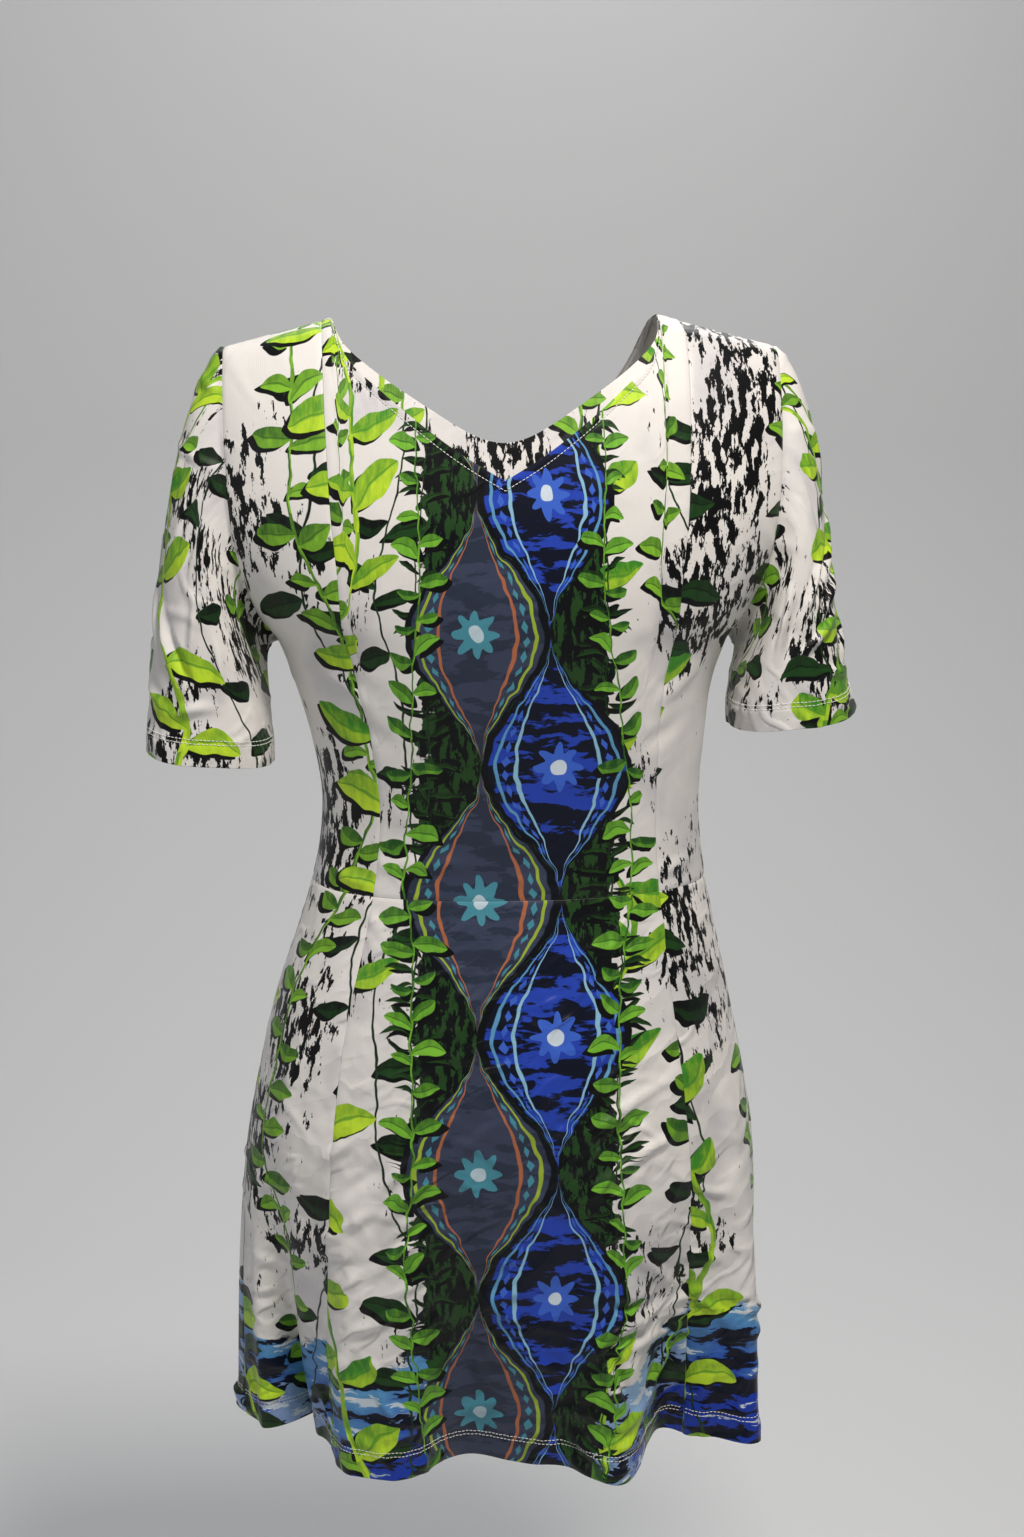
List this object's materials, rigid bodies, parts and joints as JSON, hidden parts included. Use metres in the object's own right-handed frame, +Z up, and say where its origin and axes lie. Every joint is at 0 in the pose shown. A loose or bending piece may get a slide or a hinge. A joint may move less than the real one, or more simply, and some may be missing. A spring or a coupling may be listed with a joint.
{
  "type": "sheath dress",
  "caption": "Short-sleeved printed jersey dress with a V back neck, princess seams and a short flared skirt, hollow, in the form in which it is worn.",
  "frame": {"origin": "midway between the shoulders, at the height where the neck starts, where a wearer or a form holds the dress up", "axes": "+Z up, the back of the dress faces -Y and the front +Y, and +X is the wearer's right"},
  "size_m": [0.527, 0.2769, 0.8522],
  "materials": {
    "printed_jersey": "soft viscose jersey with a slight sheen, printed all over",
    "facing_jersey": "soft viscose jersey, printed, plain paler wrong side"
  },
  "bodies": {
    "root": {"bodice_back_centre": "printed_jersey", "bodice_back_side_left": "printed_jersey", "bodice_back_side_right": "printed_jersey", "bodice_front_centre": "printed_jersey", "bodice_front_side_left": "printed_jersey", "bodice_front_side_right": "printed_jersey", "neck_facing": "facing_jersey", "sleeve_left": "printed_jersey", "sleeve_right": "printed_jersey", "skirt_back_centre": "printed_jersey", "skirt_back_side_left": "printed_jersey", "skirt_back_side_right": "printed_jersey", "skirt_front_centre": "printed_jersey", "skirt_front_side_left": "printed_jersey", "skirt_front_side_right": "printed_jersey"}
  },
  "joints": []
}
